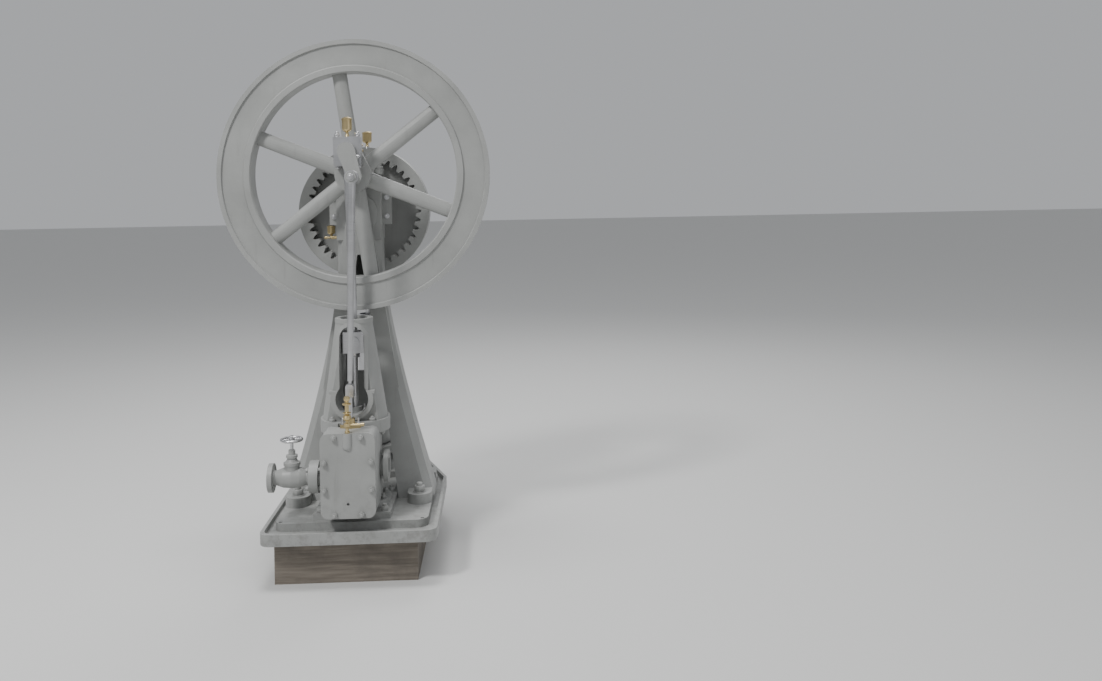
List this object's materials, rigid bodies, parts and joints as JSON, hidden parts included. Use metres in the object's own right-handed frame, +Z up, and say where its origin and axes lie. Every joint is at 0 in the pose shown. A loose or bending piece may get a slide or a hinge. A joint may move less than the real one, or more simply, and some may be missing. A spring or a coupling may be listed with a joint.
{
  "type": "steam-driven geared plunger pump",
  "caption": "Upright steam cylinder turning a spoked flywheel, whose pinion drives a toothed crank disc and a tall plunger pump, on one A-shaped column and a drip tray.",
  "frame": {"origin": "on the ground under the steam cylinder's axis, on the timber block's underside", "axes": "+X right as seen from the steam side, +Y from the steam side to the pump side, +Z up"},
  "size_m": [1, 1.085, 1.908],
  "materials": {
    "painted_casting": "satin machine paint over cast iron",
    "bare_steel": "turned and lightly oiled",
    "brass_fittings": "dulled, handled",
    "timber": "dark, weathered"
  },
  "bodies": {
    "frame": {"timber_block": "timber", "timber_drum": "timber", "base_tray": "painted_casting", "column": "painted_casting", "bearing_head": "painted_casting", "shaft_cap": "painted_casting", "column_oil_cup": "brass_fittings", "cylinder_foot": "painted_casting", "steam_cylinder": "painted_casting", "chest_cover": "painted_casting", "crosshead_guide": "painted_casting", "piston_gland": "painted_casting", "valve_gland": "brass_fittings", "lubricator": "brass_fittings", "stop_valve_body": "painted_casting", "stop_valve_bonnet": "painted_casting", "pump_barrel": "painted_casting", "stuffing_gland": "painted_casting", "valve_chest": "painted_casting", "chest_bridge": "painted_casting", "chest_cap_flange": "painted_casting", "chest_bowl": "painted_casting"},
    "flywheel_body": {"flywheel": "painted_casting", "crankshaft": "bare_steel", "pinion": "painted_casting", "crank_pin": "bare_steel", "return_crank": "painted_casting"},
    "disc_body": {"crank_disc": "painted_casting", "disc_shaft": "bare_steel", "pump_crank_pin": "bare_steel"},
    "con_rod_body": {"connecting_rod": "bare_steel", "big_end_cap": "bare_steel", "rod_oil_cup": "brass_fittings"},
    "crosshead_body": {"crosshead": "bare_steel", "piston_rod": "bare_steel", "piston": "painted_casting"},
    "pump_rod_body": {"pump_rod": "bare_steel", "pump_oil_cup": "brass_fittings"},
    "plunger_body": {"plunger": "bare_steel"},
    "valve_rod_body": {"valve_rod": "bare_steel"},
    "spindle_body": {"valve_spindle": "bare_steel"},
    "handwheel_body": {"handwheel": "bare_steel"}
  },
  "joints": [
    {"name": "flywheel_turn", "type": "hinge", "parent": "frame", "child": "flywheel_body", "pos_m": [0, 0.235, 1.408], "axis": [0, -1, 0], "range_deg": [-34, 18]},
    {"name": "disc_turn", "type": "hinge", "parent": "frame", "child": "disc_body", "pos_m": [0, 0.235, 1.261], "axis": [0, -1, 0], "range_deg": [-10.25, 5.45]},
    {"name": "rod_swing", "type": "hinge", "parent": "flywheel_body", "child": "con_rod_body", "pos_m": [-0.01183, 0, 1.49217], "axis": [0, -1, 0], "range_deg": [-15.89, 29.97]},
    {"name": "crosshead_turn", "type": "hinge", "parent": "con_rod_body", "child": "crosshead_body", "pos_m": [0, 0, 0.80227], "axis": [0, -1, 0], "range_deg": [-2.21, 4.13]},
    {"name": "pump_rod_swing", "type": "hinge", "parent": "disc_body", "child": "pump_rod_body", "pos_m": [0, 0.46, 1.461], "axis": [0, -1, 0], "range_deg": [-3.82, 7.17]},
    {"name": "plunger_turn", "type": "hinge", "parent": "pump_rod_body", "child": "plunger_body", "pos_m": [0, 0.46, 0.8], "axis": [0, -1, 0], "range_deg": [-1.68, 3.12]},
    {"name": "valve_rod_swing", "type": "hinge", "parent": "flywheel_body", "child": "valve_rod_body", "pos_m": [0.01766, -0.128, 1.39861], "axis": [0, -1, 0], "range_deg": [-18.33, 34.57]},
    {"name": "valve_spindle_slide", "type": "slide", "parent": "frame", "child": "spindle_body", "axis": [0, 0, 1], "range_m": [-0.00951, 0.00508]},
    {"name": "handwheel_turn", "type": "hinge", "parent": "frame", "child": "handwheel_body", "pos_m": [-0.2055, -0.128, 0.484], "axis": [0, 0, 1], "range_deg": [0, 720]}
  ],
  "couplings": [
    {"joint": "disc_turn", "follows": "flywheel_turn", "ratio": 0.3},
    {"joint": "rod_swing", "follows": "flywheel_turn", "ratio": -0.87991},
    {"joint": "crosshead_turn", "follows": "flywheel_turn", "ratio": -0.12009},
    {"joint": "pump_rod_swing", "follows": "flywheel_turn", "ratio": -0.20956},
    {"joint": "plunger_turn", "follows": "flywheel_turn", "ratio": -0.09044},
    {"joint": "valve_rod_swing", "follows": "flywheel_turn", "ratio": -1.0154},
    {"joint": "valve_spindle_slide", "follows": "flywheel_turn", "m_per_rad": 0.01585}
  ]
}
